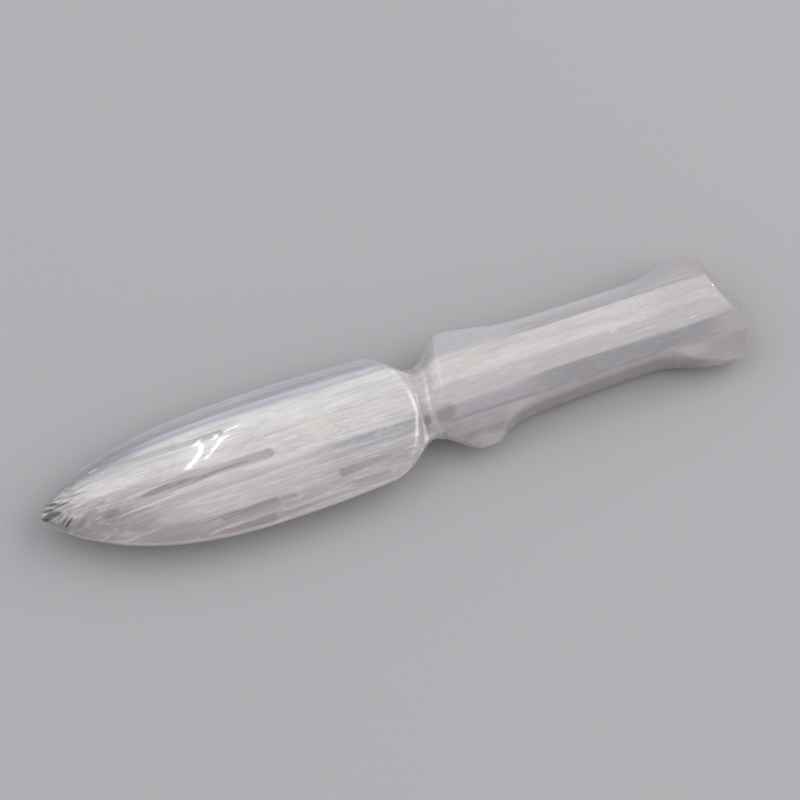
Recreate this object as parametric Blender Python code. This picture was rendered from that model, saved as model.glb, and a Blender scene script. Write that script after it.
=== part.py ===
"""A knife carved from one bar of satin spar, the fibrous kind of selenite.

The bar's flats run the whole length, along the fibres: a slightly crowned top,
sloping flanks and a flat underside.  The outline of blade, neck, guard, handle
and pommel is sawn through them, the blade is ground thin to its edges, the neck
is filed in all round and the end of the pommel is lapped to facets.  The knife
is one solid and lies on its underside.

Sizes are in millimetres, with the tip at x = 0, the pommel's end at x = LENGTH,
the near side at -Y and z = 0 at mid thickness.  The mesh is moved at the end so
that its origin is the middle of the underside.
"""
import math

import bmesh
import bpy
from mathutils import Vector

MM = 0.001
LENGTH = 200.0
HALF_THICKNESS = 8.0
TOP_CROWN = 0.5          # rise of the middle of the top over its arrises

# The bar's flats, along the fibres
FLAT_NEAR = -6.1         # arris between the flats and the near flanks
SECOND_ARRIS = -11.0     # arris between the two near flanks of the handle
FLAT_SHARE = 0.6         # of the half width, that the flats may take near the tip
FAR_SLOPE = 0.56         # fall of the handle's far flanks, per unit of width
NEAR_SLOPE = 0.52        # fall of its first near flank
OUTER_SLOPE = 1.25       # fall of its second near flank
UNDER_SLOPE = 0.50       # rise of its near flank underneath
SECOND_SHARE = 0.06      # of the flanks' width, that the second one has at least

# Far edge of the flats, a little aslant to the fibres: x, distance, slope
FAR_ARRIS = [
    (0.0, 9.8, 0.0),
    (94.0, 9.8, 0.0),
    (115.0, 8.6, -0.03),
    (204.0, 6.7, -0.021),
]

# The blade is a leaf, widest at BELLY, with its tip a little off the middle
BELLY = 66.0
BELLY_HALF = 19.8
LEAF_FULLNESS = 2.6
LEAF_POINT = 0.75
SHOULDER_TAPER = 0.0016
TIP_OFFSET = 3.4
TIP_RETURN = 60.0        # the middle of the leaf is straight from here on
EDGE = 1.6               # height of the sawn edge, all that the blade keeps

# Outline behind the blade: x, distance from the middle line, slope
FAR_OUTLINE = [
    (92.0, 18.9, -0.08),
    (96.0, 18.4, -0.3),      # shoulder
    (100.5, 15.2, -1.0),
    (105.5, 10.9, -0.15),    # neck
    (110.0, 12.6, 0.85),
    (115.6, 18.1, 0.9),      # guard
    (117.6, 18.6, -0.05),
    (125.0, 17.0, -0.3),
    (132.0, 15.0, -0.2),
    (142.0, 14.1, 0.0),      # handle
    (171.0, 14.2, 0.08),
    (176.5, 15.1, 0.45),
    (182.0, 17.6, 0.25),     # pommel
    (187.0, 17.8, 0.0),
    (204.0, 17.6, 0.0),
]
NEAR_OUTLINE = [
    (92.0, 18.6, -0.06),
    (95.0, 17.6, -0.5),      # shoulder
    (101.0, 13.7, -0.9),
    (104.8, 11.0, -0.35),    # neck
    (108.0, 11.2, 0.4),
    (112.0, 14.2, 0.85),
    (116.0, 16.9, 0.5),      # guard
    (119.0, 17.4, 0.0),
    (122.5, 16.7, -0.5),
    (125.5, 14.4, -0.75),
    (130.0, 12.4, -0.22),
    (140.0, 11.2, -0.02),    # handle
    (167.0, 10.5, 0.0),
    (175.0, 11.6, 0.36),
    (182.0, 14.6, 0.3),      # pommel
    (190.0, 16.5, 0.1),
    (204.0, 17.3, 0.0),
]

# Half thickness along the knife: x, height, slope
THICKNESS = [
    (0.0, 0.7, 0.9),
    (6.0, 3.6, 0.33),
    (20.0, 6.2, 0.11),
    (45.0, 7.8, 0.038),
    (62.0, HALF_THICKNESS, 0.0),
    (94.6, HALF_THICKNESS, 0.0),
    (95.6, 7.8, -0.5),       # the end of the blade
    (99.4, 5.9, -0.3),
    (104.2, 5.4, 0.0),       # neck
    (107.3, 6.1, 0.15),      # the low ridge round the neck
    (109.3, 6.0, 0.1),
    (114.6, 7.7, 0.35),
    (117.0, HALF_THICKNESS, 0.0),
    (204.0, HALF_THICKNESS, 0.0),
]

# How far the middle of a section lies ahead of its edges: x, distance, slope
BOW = [
    (60.0, 0.0, 0.0),
    (95.6, 6.8, 0.0),
    (99.5, 4.7, -0.75),
    (104.0, 0.9, -0.6),
    (107.3, -0.4, -0.4),
    (115.6, -3.9, 0.0),
    (132.0, 0.0, 0.0),
    (204.0, 0.0, 0.0),
]

# How far a section runs aslant, ahead per unit of width: x, amount, slope
SLANT = [
    (60.0, 0.0, 0.0),
    (95.6, -0.1, 0.0),
    (107.3, 0.24, 0.0),
    (116.0, 0.1, 0.0),
    (132.0, 0.0, 0.0),
    (204.0, 0.0, 0.0),
]

# From blade to handle
SHOULDER = (94.0, 97.0)  # the arrises sharpen here
GUARD = (100.0, 118.0)   # the thin edge becomes the handle's sides here
BLADE_LEAN = 0.15        # how far the side leans out on its way down
HANDLE_LEAN = 0.5
LEAN_WIDTH = 6.0         # half width from which the lean is whole

# Rounding of the corners of a section, measured along the flats that meet there
BLADE_ROUND = 2.4
HANDLE_ROUND = 0.9
EDGE_ROUND = 0.6
CROWN_ROUND = 9.0
LARGEST_ROUND = 0.42     # of the flat's width
CORNER_STEPS = 3

# Facets of the pommel's end: a point on each, its turn about Z and its lean back.
# Three upright ones close the end and two leaning ones take off its top and bottom
END_FACETS = [
    ((196.0, 7.0, 0.0), 23.0, 0.0),
    ((199.8, -4.0, 0.0), -8.0, 0.0),
    ((196.4, -13.0, 0.0), -30.0, 0.0),
    ((193.0, 0.0, HALF_THICKNESS), 13.0, 38.0),
    ((193.0, 0.0, -HALF_THICKNESS), 13.0, -38.0),
]

# Where the sections stand, close together where the outline turns
STATIONS = [
    0.5, 1.6, 3.2, 5.5, 8.5, 12, 16.5, 22, 29, 37, 46, 56, 66, 76, 85, 91,
    94, 95.6, 97.4, 99.4, 101.6, 103.8, 105.8, 107.3, 108.8, 110.6, 112.6, 114.4,
    116, 117.6, 120, 122.5, 124, 125.8, 128.5, 132, 138, 147, 160, 170, 173.5,
    176.5, 179.5, 182.5, 186, 190, 204,
]


def along(knots, x):
    """Smooth curve through (x, value, slope) knots, read at x."""
    x = min(max(x, knots[0][0]), knots[-1][0])
    for (x0, y0, m0), (x1, y1, m1) in zip(knots, knots[1:]):
        if x <= x1:
            break
    span = x1 - x0
    t = (x - x0) / span
    start = (2 * t**3 - 3 * t**2 + 1) * y0 + (t**3 - 2 * t**2 + t) * span * m0
    return start + (3 * t**2 - 2 * t**3) * y1 + (t**3 - t**2) * span * m1


def ease(x, limits):
    """0 before the first limit, 1 after the second, smooth between."""
    t = min(max((x - limits[0]) / (limits[1] - limits[0]), 0.0), 1.0)
    return t * t * (3 - 2 * t)


def mix(a, b, t):
    return a + (b - a) * t


def lesser(a, b):
    """Smooth minimum of two lengths."""
    return (a**-6 + b**-6) ** (-1 / 6)


def leaf_half_width(x):
    if x > BELLY:
        return BELLY_HALF - SHOULDER_TAPER * (x - BELLY) ** 2
    return BELLY_HALF * (1 - (1 - x / BELLY) ** LEAF_FULLNESS) ** LEAF_POINT


def outline(x):
    """The far and the near edge, as y."""
    if x > FAR_OUTLINE[0][0]:
        return along(FAR_OUTLINE, x), -along(NEAR_OUTLINE, x)
    middle = TIP_OFFSET * max(1 - x / TIP_RETURN, 0.0) ** 2
    half = leaf_half_width(x)
    return middle + half, middle - half


def section_corners(x):
    """The corners of one section and how far each is rounded, from its far edge over
    the top to the near edge and back underneath."""
    far, near = outline(x)
    middle = (far + near) / 2
    half = (far - near) / 2
    top = along(THICKNESS, x)
    handle = ease(x, GUARD)
    lean = mix(BLADE_LEAN, HANDLE_LEAN, handle) * min(half / LEAN_WIDTH, 1)
    edge = min(EDGE, top) / 2

    arris_height = top - TOP_CROWN * min(top / HALF_THICKNESS, 1)
    flat_far = middle + lesser(along(FAR_ARRIS, x) - middle, FLAT_SHARE * half)
    flat_near = middle - lesser(middle - FLAT_NEAR, FLAT_SHARE * half)

    side_top = arris_height - FAR_SLOPE * (far - lean - flat_far)
    far_top = mix(edge, max(side_top, edge), handle)
    side_bottom = -top + FAR_SLOPE * (far - flat_far)
    far_bottom = mix(-edge, min(side_bottom, -edge), handle)

    near_upper = near + lean
    blade_slope = (arris_height - edge) / (flat_near - near_upper)
    second = max(SECOND_ARRIS, mix(near_upper, flat_near, SECOND_SHARE))
    second_height = arris_height - mix(blade_slope, NEAR_SLOPE, handle) * (flat_near - second)
    outer_fall = mix(blade_slope, OUTER_SLOPE, handle) * (second - near_upper)
    near_bottom = mix(-edge, -top + UNDER_SLOPE * (flat_near - near), handle)
    near_top = max(second_height - outer_fall, near_bottom + edge)

    arris = mix(BLADE_ROUND, HANDLE_ROUND, ease(x, SHOULDER))
    return [
        ((far - lean, far_top), EDGE_ROUND),
        ((flat_far, arris_height), arris),
        ((mix(flat_far, flat_near, 0.5), top), CROWN_ROUND),
        ((flat_near, arris_height), arris),
        ((second, second_height), arris),
        ((near_upper, near_top), EDGE_ROUND),
        ((near, near_bottom), EDGE_ROUND),
        ((flat_near, -top), arris),
        ((flat_far, -top), arris),
        ((far, far_bottom), EDGE_ROUND),
    ]


def rounded(corners):
    """The closed section with each corner turned into a short curve."""
    points = []
    for i, (place, size) in enumerate(corners):
        corner = Vector(place)
        before = Vector(corners[i - 1][0]) - corner
        after = Vector(corners[(i + 1) % len(corners)][0]) - corner
        first = corner + before * min(size / before.length, LARGEST_ROUND)
        last = corner + after * min(size / after.length, LARGEST_ROUND)
        for step in range(CORNER_STEPS + 1):
            t = step / CORNER_STEPS
            points.append(first.lerp(corner, t).lerp(corner.lerp(last, t), t))
    return points


def section(x):
    """One section of the knife, bowed and aslant as the cut at its place is."""
    far, near = outline(x)
    middle = (far + near) / 2
    half = (far - near) / 2
    bow = along(BOW, x)
    slant = along(SLANT, x)
    points = []
    for y, z in rounded(section_corners(x)):
        off = y - middle
        ahead = (bow + slant * off) * (1 - (off / half) ** 2)
        points.append(Vector((x + ahead, y, z)))
    return points


def lap_facet(bm, point, turn, lean):
    """Cut the end of the pommel back to one facet."""
    level = math.cos(math.radians(lean))
    normal = Vector((
        level * math.cos(math.radians(turn)),
        level * math.sin(math.radians(turn)),
        math.sin(math.radians(lean)),
    ))
    geometry = bm.verts[:] + bm.edges[:] + bm.faces[:]
    cut = bmesh.ops.bisect_plane(
        bm, geom=geometry, plane_co=Vector(point), plane_no=normal, clear_outer=True
    )
    rim = [item for item in cut["geom_cut"] if isinstance(item, bmesh.types.BMEdge)]
    bmesh.ops.holes_fill(bm, edges=rim, sides=0)


def make_knife():
    """Skin the sections from tip to pommel, then lap the end."""
    bm = bmesh.new()
    rings = [[bm.verts.new(point) for point in section(x)] for x in STATIONS]
    count = len(rings[0])
    tip = bm.verts.new((0.0, TIP_OFFSET, 0.0))
    for i in range(count):
        following = (i + 1) % count
        bm.faces.new((tip, rings[0][i], rings[0][following]))
        for ring, beyond in zip(rings, rings[1:]):
            bm.faces.new((ring[i], beyond[i], beyond[following], ring[following]))
    bm.faces.new(rings[-1])
    bmesh.ops.recalc_face_normals(bm, faces=bm.faces[:])
    for point, turn, lean in END_FACETS:
        lap_facet(bm, point, turn, lean)
    bmesh.ops.recalc_face_normals(bm, faces=bm.faces[:])
    for vert in bm.verts:
        vert.co = (vert.co + Vector((-LENGTH / 2, 0, HALF_THICKNESS))) * MM
    mesh = bpy.data.meshes.new("knife")
    bm.to_mesh(mesh)
    bm.free()
    mesh.shade_smooth()
    mesh.set_sharp_from_angle(angle=math.radians(25))
    return mesh


def satin_spar():
    """Milky, silky white stone with a soft polish."""
    material = bpy.data.materials.new("satin_spar")
    material.use_nodes = True
    shader = material.node_tree.nodes["Principled BSDF"]
    shader.inputs["Base Color"].default_value = (0.66, 0.65, 0.66, 1.0)
    shader.inputs["Roughness"].default_value = 0.2
    shader.inputs["Metallic"].default_value = 0.0
    return material


for old in list(bpy.data.objects):
    bpy.data.objects.remove(old)

knife = bpy.data.objects.new("knife", make_knife())
knife.data.materials.append(satin_spar())
bpy.context.scene.collection.objects.link(knife)
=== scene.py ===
"""Looks for a knife carved from one bar of satin spar, the fibrous kind of selenite.

Sizes are in millimetres.  Stations, written x in the tables, count from the tip of
the blade at 0 to the end of the pommel at 200; the stone lies along X, its tip at
-X, with its crowned top up and the middle of its underside at the origin.
"""

import math

import bmesh
import bpy
import numpy as np
from mathutils import Matrix, Vector


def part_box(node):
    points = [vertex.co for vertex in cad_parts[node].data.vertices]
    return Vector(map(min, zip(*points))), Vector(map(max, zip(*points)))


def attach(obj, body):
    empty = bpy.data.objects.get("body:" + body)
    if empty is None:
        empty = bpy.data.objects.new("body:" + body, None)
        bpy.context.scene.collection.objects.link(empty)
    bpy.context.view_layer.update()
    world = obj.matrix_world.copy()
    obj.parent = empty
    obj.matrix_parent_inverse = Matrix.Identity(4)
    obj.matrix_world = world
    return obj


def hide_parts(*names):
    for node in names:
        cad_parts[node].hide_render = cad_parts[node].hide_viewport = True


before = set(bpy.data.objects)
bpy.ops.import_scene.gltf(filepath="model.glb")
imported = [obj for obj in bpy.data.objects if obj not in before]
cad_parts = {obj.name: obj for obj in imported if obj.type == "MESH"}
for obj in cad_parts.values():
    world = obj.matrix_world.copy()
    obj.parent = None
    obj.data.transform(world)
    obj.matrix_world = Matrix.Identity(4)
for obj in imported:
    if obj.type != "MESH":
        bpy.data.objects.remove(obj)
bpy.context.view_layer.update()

# The stone itself, one bar of satin spar with its fibres running from tip to
# pommel.  The flats of the bar are planed along the fibres, the outline is sawn
# through them, and the blade, neck and pommel are ground and polished.
MM = 0.001
LENGTH = 200.0
HALF_THICKNESS = 8.0
TOP_CROWN = 0.5
FLAT_NEAR = -6.1  # arris between the flats and the near flanks
SECOND_ARRIS = -11.0  # arris between the two near flanks of the handle
FLAT_SHARE = 0.6
FAR_SLOPE = 0.56
NEAR_SLOPE = 0.52
OUTER_SLOPE = 1.25
UNDER_SLOPE = 0.50
SECOND_SHARE = 0.06
# Far edge of the flats, a little aslant to the fibres: x, distance, slope
FAR_ARRIS = [(0.0, 9.8, 0.0), (94.0, 9.8, 0.0), (115.0, 8.6, -0.03), (204.0, 6.7, -0.021)]
BELLY = 66.0
BELLY_HALF = 19.8
LEAF_FULLNESS = 2.6
LEAF_POINT = 0.75
SHOULDER_TAPER = 0.0016
TIP_OFFSET = 3.4
TIP_RETURN = 60.0
EDGE = 1.6

# Outline behind the blade: x, distance from the middle line, slope
FAR_OUTLINE = [
    (92.0, 18.9, -0.08), (96.0, 18.4, -0.3), (100.5, 15.2, -1.0), (105.5, 10.9, -0.15),
    (110.0, 12.6, 0.85), (115.6, 18.1, 0.9), (117.6, 18.6, -0.05), (125.0, 17.0, -0.3),
    (132.0, 15.0, -0.2), (142.0, 14.1, 0.0), (171.0, 14.2, 0.08), (176.5, 15.1, 0.45),
    (182.0, 17.6, 0.25), (187.0, 17.8, 0.0), (204.0, 17.6, 0.0),
]
NEAR_OUTLINE = [
    (92.0, 18.6, -0.06), (95.0, 17.6, -0.5), (101.0, 13.7, -0.9), (104.8, 11.0, -0.35),
    (108.0, 11.2, 0.4), (112.0, 14.2, 0.85), (116.0, 16.9, 0.5), (119.0, 17.4, 0.0),
    (122.5, 16.7, -0.5), (125.5, 14.4, -0.75), (130.0, 12.4, -0.22), (140.0, 11.2, -0.02),
    (167.0, 10.5, 0.0), (175.0, 11.6, 0.36), (182.0, 14.6, 0.3), (190.0, 16.5, 0.1),
    (204.0, 17.3, 0.0),
]
# Half thickness along the knife: x, height, slope
THICKNESS = [
    (0.0, 0.7, 0.9), (6.0, 3.6, 0.33), (20.0, 6.2, 0.11), (45.0, 7.8, 0.038),
    (62.0, 8.0, 0.0), (94.6, 8.0, 0.0), (95.6, 7.8, -0.5), (99.4, 5.9, -0.3), (104.2, 5.4, 0.0),
    (107.3, 6.1, 0.15), (109.3, 6.0, 0.1), (114.6, 7.7, 0.35), (117.0, 8.0, 0.0),
    (204.0, 8.0, 0.0),
]
# How far the middle of a section lies ahead of its edges, and how much it runs aslant
BOW = [
    (60.0, 0.0, 0.0), (95.6, 6.8, 0.0), (99.5, 4.7, -0.75), (104.0, 0.9, -0.6),
    (107.3, -0.4, -0.4), (115.6, -3.9, 0.0), (132.0, 0.0, 0.0), (204.0, 0.0, 0.0),
]
SLANT = [
    (60.0, 0.0, 0.0), (95.6, -0.1, 0.0), (107.3, 0.24, 0.0), (116.0, 0.1, 0.0),
    (132.0, 0.0, 0.0), (204.0, 0.0, 0.0),
]
SHOULDER = (94.0, 97.0)
GUARD = (100.0, 118.0)
BLADE_LEAN = 0.15
HANDLE_LEAN = 0.5
LEAN_WIDTH = 6.0
BLADE_ROUND = 2.4
HANDLE_ROUND = 0.9
EDGE_ROUND = 0.6
CROWN_ROUND = 9.0
LARGEST_ROUND = 0.46
CORNER_STEPS = 5
FLAT_STEPS = (14, 10, 10, 10, 12, 8, 8, 12, 8, 4)  # points along each flat of a section
STRETCHES = ((0.2, 6.0, 20), (6.0, 94.0, 160), (94.0, 118.0, 90), (118.0, 204.0, 156))
NECK_RIDGES = ((106.7, 0.025), (107.6, 0.04))  # station and height of the fine ridges
RIDGE_WIDTH = 0.5
# Relief of the fibres: how far its waves run, how wide they are, how deep
THREAD_WAVES = (40.0, 0.9)
THREAD_DEPTH = 0.03
SWELL_WAVES = (70.0, 6.0)
SWELL_DEPTH = 0.16
SHARP_ANGLE = 30.0
# Lapped facets of the pommel: a point on each, its turn and its lean
END_FACETS = [
    ((196.0, 7.0, 0.0), 23.0, 0.0),
    ((199.8, -4.0, 0.0), -8.0, 0.0),
    ((196.4, -13.0, 0.0), -30.0, 0.0),
    ((193.0, 0.0, HALF_THICKNESS), 13.0, 38.0),
    ((193.0, 0.0, -HALF_THICKNESS), 13.0, -38.0),
]


def along(knots, x):
    """Smooth curve through (x, value, slope) knots, read at x."""
    x = min(max(x, knots[0][0]), knots[-1][0])
    for (x0, y0, m0), (x1, y1, m1) in zip(knots, knots[1:]):
        if x <= x1:
            break
    span = x1 - x0
    t = (x - x0) / span
    start = (2 * t**3 - 3 * t**2 + 1) * y0 + (t**3 - 2 * t**2 + t) * span * m0
    return start + (3 * t**2 - 2 * t**3) * y1 + (t**3 - t**2) * span * m1


def ease(x, limits):
    """0 before the first limit, 1 after the second, smooth between."""
    t = min(max((x - limits[0]) / (limits[1] - limits[0]), 0.0), 1.0)
    return t * t * (3 - 2 * t)


def mix(a, b, t):
    return a + (b - a) * t


def lesser(a, b):
    """Smooth minimum of two lengths."""
    return (a**-6 + b**-6) ** (-1 / 6)


def outline(x):
    """The far and the near edge, as y."""
    if x > FAR_OUTLINE[0][0]:
        return along(FAR_OUTLINE, x), -along(NEAR_OUTLINE, x)
    if x > BELLY:
        half = BELLY_HALF - SHOULDER_TAPER * (x - BELLY) ** 2
    else:
        half = BELLY_HALF * (1 - (1 - x / BELLY) ** LEAF_FULLNESS) ** LEAF_POINT
    middle = TIP_OFFSET * max(1 - x / TIP_RETURN, 0.0) ** 2
    return middle + half, middle - half


def section_corners(x):
    """The corners of one section and how far each is rounded, from its far edge over
    the top to the near edge and back underneath."""
    far, near = outline(x)
    middle = (far + near) / 2
    half = (far - near) / 2
    top = along(THICKNESS, x)
    ridge = sum(h * math.exp(-(((x - at) / RIDGE_WIDTH) ** 2)) for at, h in NECK_RIDGES)
    handle = ease(x, GUARD)
    lean = mix(BLADE_LEAN, HANDLE_LEAN, handle) * min(half / LEAN_WIDTH, 1)
    edge = min(EDGE, top) / 2

    arris_height = top - TOP_CROWN * min(top / HALF_THICKNESS, 1)
    flat_far = middle + lesser(along(FAR_ARRIS, x) - middle, FLAT_SHARE * half)
    flat_near = middle - lesser(middle - FLAT_NEAR, FLAT_SHARE * half)

    side_top = arris_height - FAR_SLOPE * (far - lean - flat_far)
    far_top = mix(edge, max(side_top, edge), handle)
    side_bottom = -top + FAR_SLOPE * (far - flat_far)
    far_bottom = mix(-edge, min(side_bottom, -edge), handle)

    near_upper = near + lean
    blade_slope = (arris_height - edge) / (flat_near - near_upper)
    second = max(SECOND_ARRIS, mix(near_upper, flat_near, SECOND_SHARE))
    second_height = arris_height - mix(blade_slope, NEAR_SLOPE, handle) * (flat_near - second)
    outer_fall = mix(blade_slope, OUTER_SLOPE, handle) * (second - near_upper)
    near_bottom = mix(-edge, -top + UNDER_SLOPE * (flat_near - near), handle)
    near_top = max(second_height - outer_fall, near_bottom + edge)

    arris = mix(BLADE_ROUND, HANDLE_ROUND, ease(x, SHOULDER))
    return [
        ((far - lean, far_top), EDGE_ROUND),
        ((flat_far, arris_height + ridge), arris),
        ((mix(flat_far, flat_near, 0.5), top + ridge), CROWN_ROUND),
        ((flat_near, arris_height + ridge), arris),
        ((second, second_height + ridge), arris),
        ((near_upper, near_top), EDGE_ROUND),
        ((near, near_bottom), EDGE_ROUND),
        ((flat_near, -top), arris),
        ((flat_far, -top), arris),
        ((far, far_bottom), EDGE_ROUND),
    ]


def rounded(corners):
    """The closed section with rounded corners and evenly divided flats."""
    curves = []
    for i, (place, size) in enumerate(corners):
        corner = Vector(place)
        before = Vector(corners[i - 1][0]) - corner
        after = Vector(corners[(i + 1) % len(corners)][0]) - corner
        first = corner + before * min(size / before.length, LARGEST_ROUND)
        last = corner + after * min(size / after.length, LARGEST_ROUND)
        steps = [step / CORNER_STEPS for step in range(CORNER_STEPS + 1)]
        curves.append([first.lerp(corner, t).lerp(corner.lerp(last, t), t) for t in steps])
    points = []
    for i, curve in enumerate(curves):
        points += curve
        beyond = curves[(i + 1) % len(curves)][0]
        for step in range(1, FLAT_STEPS[i] + 1):
            points.append(curve[-1].lerp(beyond, step / (FLAT_STEPS[i] + 1)))
    return points


def lap_facet(bm, point, turn, lean):
    """Cut the end of the pommel back to one facet."""
    level = math.cos(math.radians(lean))
    normal = Vector((
        level * math.cos(math.radians(turn)),
        level * math.sin(math.radians(turn)),
        math.sin(math.radians(lean)),
    ))
    geometry = bm.verts[:] + bm.edges[:] + bm.faces[:]
    cut = bmesh.ops.bisect_plane(
        bm, geom=geometry, plane_co=Vector(point), plane_no=normal, clear_outer=True
    )
    rim = [item for item in cut["geom_cut"] if isinstance(item, bmesh.types.BMEdge)]
    bmesh.ops.holes_fill(bm, edges=rim, sides=0)


def carved_stone():
    """The knife's surface, with the station of each point and its place across."""
    bm = bmesh.new()
    station_layer = bm.verts.layers.float.new("station")
    across_layer = bm.verts.layers.float.new("across")
    rings = []
    for begin, end, count in STRETCHES:
        for x in np.linspace(begin, end, count, endpoint=end == STRETCHES[-1][1]):
            far, near = outline(x)
            middle = (far + near) / 2
            half = (far - near) / 2
            bow = along(BOW, x)
            slant = along(SLANT, x)
            ring = []
            for y, z in rounded(section_corners(x)):
                across = (y - middle) / half
                ahead = (bow + slant * (y - middle)) * (1 - across**2)
                vert = bm.verts.new((x + ahead, y, z))
                vert[station_layer] = x
                vert[across_layer] = across
                ring.append(vert)
            rings.append(ring)
    tip = bm.verts.new((0.0, TIP_OFFSET, 0.0))
    for i in range(len(rings[0])):
        following = (i + 1) % len(rings[0])
        bm.faces.new((tip, rings[0][i], rings[0][following]))
        for ring, beyond in zip(rings, rings[1:]):
            bm.faces.new((ring[i], beyond[i], beyond[following], ring[following]))
    bm.faces.new(rings[-1])
    bmesh.ops.recalc_face_normals(bm, faces=bm.faces[:])
    for point, turn, lean in END_FACETS:
        lap_facet(bm, point, turn, lean)
    bmesh.ops.recalc_face_normals(bm, faces=bm.faces[:])
    for vert in bm.verts:
        vert.co = (vert.co + Vector((-LENGTH / 2, 0, HALF_THICKNESS))) * MM
    mesh = bpy.data.meshes.new("knife_stone")
    bm.to_mesh(mesh)
    bm.free()
    mesh.shade_smooth()
    mesh.set_sharp_from_angle(angle=math.radians(SHARP_ANGLE))
    return mesh


def join(tree, socket, value):
    """Link an output to an input, or set the input to a plain value."""
    if isinstance(value, bpy.types.NodeSocket):
        tree.links.new(value, socket)
    else:
        socket.default_value = value


def calc(tree, operation, first, second=0.0, third=0.0):
    node = tree.nodes.new("ShaderNodeMath")
    node.operation = operation
    for socket, value in zip(node.inputs, (first, second, third)):
        join(tree, socket, value)
    return node.outputs[0]


def grade(tree, value, low, high, bottom=0.0, top=1.0):
    """Smooth climb from bottom to top while value goes from low to high."""
    node = tree.nodes.new("ShaderNodeMapRange")
    node.interpolation_type = "SMOOTHSTEP"
    for name, part in (
        ("Value", value), ("From Min", low), ("From Max", high), ("To Min", bottom), ("To Max", top)
    ):
        join(tree, node.inputs[name], part)
    return node.outputs["Result"]


def lane(tree, value, low, high, soft, top=1.0):
    """Top between low and high, 0 outside, with soft sides."""
    rise = grade(tree, value, low - soft, low + soft, 0.0, top)
    fall = grade(tree, value, high - soft, high + soft, 0.0, top)
    return calc(tree, "SUBTRACT", rise, fall)


def grain(tree, place, run, width, detail=2.0, seed=0.0):
    """Noise drawn out along the fibres and, less, in height."""
    mapping = tree.nodes.new("ShaderNodeMapping")
    mapping.inputs["Location"].default_value = (seed, seed * 1.7, seed * 0.6)
    mapping.inputs["Scale"].default_value = (1 / run, 1 / width, 0.4 / width)
    join(tree, mapping.inputs["Vector"], place)
    noise = tree.nodes.new("ShaderNodeTexNoise")
    noise.inputs["Scale"].default_value = 1.0
    noise.inputs["Detail"].default_value = detail
    join(tree, noise.inputs["Vector"], mapping.outputs["Vector"])
    return noise.outputs["Fac"]


def shade(red, green, blue):
    """A colour as the eye reads it, 0 to 255, turned to what the shader takes."""
    return tuple(((part / 255 + 0.055) / 1.055) ** 2.4 for part in (red, green, blue)) + (1.0,)


def over(tree, below, above, mask):
    """One colour laid over another through a mask."""
    node = tree.nodes.new("ShaderNodeMix")
    node.data_type = "RGBA"
    join(tree, node.inputs["Factor"], mask)
    join(tree, node.inputs["A"], below)
    join(tree, node.inputs["B"], above)
    return node.outputs["Result"]


def banded(tree, way, stops):
    """Colours that blend into each other at the given places along a way."""
    first, last = stops[0][0], stops[-1][0]
    node = tree.nodes.new("ShaderNodeValToRGB")
    span = last - first
    join(tree, node.inputs["Fac"], calc(tree, "MULTIPLY_ADD", way, 1 / span, -first / span))
    elements = node.color_ramp.elements
    for i, (at, colour) in enumerate(stops):
        element = elements[i] if i < 2 else elements.new(1.0)
        element.position = (at - first) / span
        element.color = colour
    return node.outputs["Color"]


def blot(tree, place, middle, reach, width, turn, strength):
    """A soft oval mask, its length turned from the fibres by some degrees."""
    mapping = tree.nodes.new("ShaderNodeMapping")
    mapping.vector_type = "TEXTURE"
    mapping.inputs["Location"].default_value = (*middle, HALF_THICKNESS)
    mapping.inputs["Rotation"].default_value = (0.0, 0.0, math.radians(turn))
    mapping.inputs["Scale"].default_value = (reach, width, LENGTH)
    join(tree, mapping.inputs["Vector"], place)
    distance = tree.nodes.new("ShaderNodeVectorMath")
    distance.operation = "LENGTH"
    join(tree, distance.inputs[0], mapping.outputs["Vector"])
    return grade(tree, distance.outputs["Value"], *BLOT_RIM, 0.0, strength)


def cleft_group():
    """A finger-shaped cleft between the fibres: round at one end, drawn out to the other."""
    tree = bpy.data.node_groups.new("cleft", "ShaderNodeTree")
    face = tree.interface
    face.new_socket("Place", in_out="INPUT", socket_type="NodeSocketVector")
    for name in ("Round end", "Tail"):
        face.new_socket(name, in_out="INPUT", socket_type="NodeSocketVector")
    for name in ("Round width", "Tail width", "Softness"):
        face.new_socket(name, in_out="INPUT", socket_type="NodeSocketFloat")
    face.new_socket("Mask", in_out="OUTPUT", socket_type="NodeSocketFloat")
    face.new_socket("Way", in_out="OUTPUT", socket_type="NodeSocketFloat")
    given = tree.nodes.new("NodeGroupInput").outputs
    result = tree.nodes.new("NodeGroupOutput").inputs

    def vector(operation, first, second=(0.0, 0.0, 0.0), scale=1.0):
        node = tree.nodes.new("ShaderNodeVectorMath")
        node.operation = operation
        join(tree, node.inputs[0], first)
        if operation == "SCALE":
            join(tree, node.inputs["Scale"], scale)
        else:
            join(tree, node.inputs[1], second)
        return node.outputs["Value" if operation in ("DOT_PRODUCT", "LENGTH") else "Vector"]

    flat = vector("MULTIPLY", given["Place"], (1.0, 1.0, 0.0))
    reach = vector("SUBTRACT", given["Tail"], given["Round end"])
    off = vector("SUBTRACT", flat, given["Round end"])
    covered = vector("DOT_PRODUCT", off, reach)
    way = calc(tree, "DIVIDE", covered, vector("DOT_PRODUCT", reach, reach))
    way = calc(tree, "MINIMUM", calc(tree, "MAXIMUM", way, 0.0), 1.0)
    nearest = vector("SCALE", reach, scale=way)
    distance = vector("LENGTH", vector("SUBTRACT", off, nearest))
    spread = calc(tree, "SUBTRACT", given["Tail width"], given["Round width"])
    width = calc(tree, "MULTIPLY_ADD", spread, way, given["Round width"])
    inner = calc(tree, "SUBTRACT", width, given["Softness"])
    outer = calc(tree, "ADD", width, given["Softness"])
    join(tree, result["Mask"], grade(tree, distance, inner, outer, 1.0, 0.0))
    join(tree, result["Way"], way)
    return tree


cleft = cleft_group()


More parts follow.
